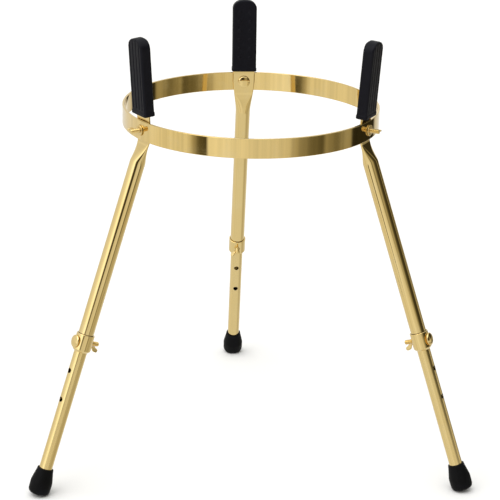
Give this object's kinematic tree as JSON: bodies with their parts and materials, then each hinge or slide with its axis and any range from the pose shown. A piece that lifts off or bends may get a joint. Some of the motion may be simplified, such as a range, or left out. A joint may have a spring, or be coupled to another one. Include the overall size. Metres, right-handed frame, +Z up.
{
  "type": "conga drum stand",
  "caption": "Gold-plated three-legged stand that holds a conga drum in a flat hoop between rubber-sleeved straps, with telescoping legs set by through-bolts.",
  "frame": {"origin": "on the floor, at the middle of the footprint's box; the hoop's axis is 78.4 mm in front of it", "axes": "+Z up, +Y towards the rear leg, +X to the right as seen from the front"},
  "size_m": [0.5744, 0.5012, 0.5831],
  "materials": {
    "gold_hoop": "gold-plated steel strip, polished",
    "gold_tube": "gold-plated steel tube, polished, drawn lengthwise",
    "gold_fastener": "gold-plated fastener, slightly deeper yellow, worn bright on edges",
    "black_rubber": "moulded black rubber, satin"
  },
  "bodies": {
    "ring": {"ring_hoop": "gold_hoop"},
    "rear_leg": {"rear_upper_leg": "gold_tube", "rear_grip": "black_rubber", "rear_collar": "gold_tube", "rear_ring_bolt": "gold_fastener", "rear_ring_washer": "gold_fastener", "rear_height_bolt": "gold_fastener"},
    "rear_extension": {"rear_lower_tube": "gold_tube", "rear_foot": "black_rubber"},
    "rear_ring_nut": {"rear_ring_wing_nut": "gold_fastener"},
    "rear_height_nut": {"rear_height_wing_nut": "gold_fastener"},
    "left_leg": {"left_upper_leg": "gold_tube", "left_grip": "black_rubber", "left_collar": "gold_tube", "left_ring_bolt": "gold_fastener", "left_ring_washer": "gold_fastener", "left_height_bolt": "gold_fastener"},
    "left_extension": {"left_lower_tube": "gold_tube", "left_foot": "black_rubber"},
    "left_ring_nut": {"left_ring_wing_nut": "gold_fastener"},
    "left_height_nut": {"left_height_wing_nut": "gold_fastener"},
    "right_leg": {"right_upper_leg": "gold_tube", "right_grip": "black_rubber", "right_collar": "gold_tube", "right_ring_bolt": "gold_fastener", "right_ring_washer": "gold_fastener", "right_height_bolt": "gold_fastener"},
    "right_extension": {"right_lower_tube": "gold_tube", "right_foot": "black_rubber"},
    "right_ring_nut": {"right_ring_wing_nut": "gold_fastener"},
    "right_height_nut": {"right_height_wing_nut": "gold_fastener"}
  },
  "joints": [
    {"name": "rear_leg_swivel", "type": "hinge", "parent": "ring", "child": "rear_leg", "pos_m": [0, 0.0821, 0.465], "axis": [0, 1, 0], "range_deg": [-5, 5]},
    {"name": "rear_height_slide", "type": "slide", "parent": "rear_leg", "child": "rear_extension", "axis": [0, 0.3325, -0.9431], "range_m": [-0.0784, 0.1568]},
    {"name": "rear_ring_nut_turn", "type": "hinge", "parent": "rear_leg", "child": "rear_ring_nut", "pos_m": [0, 0.0898, 0.465], "axis": [0, 1, 0], "continuous": true},
    {"name": "rear_height_nut_turn", "type": "hinge", "parent": "rear_leg", "child": "rear_height_nut", "pos_m": [0, 0.15969, 0.19308], "axis": [0, -0.9431, -0.3325], "continuous": true},
    {"name": "left_leg_swivel", "type": "hinge", "parent": "ring", "child": "left_leg", "pos_m": [-0.139, -0.15865, 0.465], "axis": [-0.866, -0.5, 0], "range_deg": [-5, 5]},
    {"name": "left_height_slide", "type": "slide", "parent": "left_leg", "child": "left_extension", "axis": [-0.288, -0.1663, -0.9431], "range_m": [-0.0784, 0.1568]},
    {"name": "left_ring_nut_turn", "type": "hinge", "parent": "left_leg", "child": "left_ring_nut", "pos_m": [-0.14566, -0.1625, 0.465], "axis": [-0.866, -0.5, 0], "continuous": true},
    {"name": "left_height_nut_turn", "type": "hinge", "parent": "left_leg", "child": "left_height_nut", "pos_m": [-0.20619, -0.19744, 0.19308], "axis": [0.8167, 0.4715, -0.3325], "continuous": true},
    {"name": "right_leg_swivel", "type": "hinge", "parent": "ring", "child": "right_leg", "pos_m": [0.139, -0.15865, 0.465], "axis": [0.866, -0.5, 0], "range_deg": [-5, 5]},
    {"name": "right_height_slide", "type": "slide", "parent": "right_leg", "child": "right_extension", "axis": [0.288, -0.1663, -0.9431], "range_m": [-0.0784, 0.1568]},
    {"name": "right_ring_nut_turn", "type": "hinge", "parent": "right_leg", "child": "right_ring_nut", "pos_m": [0.14566, -0.1625, 0.465], "axis": [0.866, -0.5, 0], "continuous": true},
    {"name": "right_height_nut_turn", "type": "hinge", "parent": "right_leg", "child": "right_height_nut", "pos_m": [0.20619, -0.19744, 0.19308], "axis": [-0.8167, 0.4715, -0.3325], "continuous": true}
  ]
}
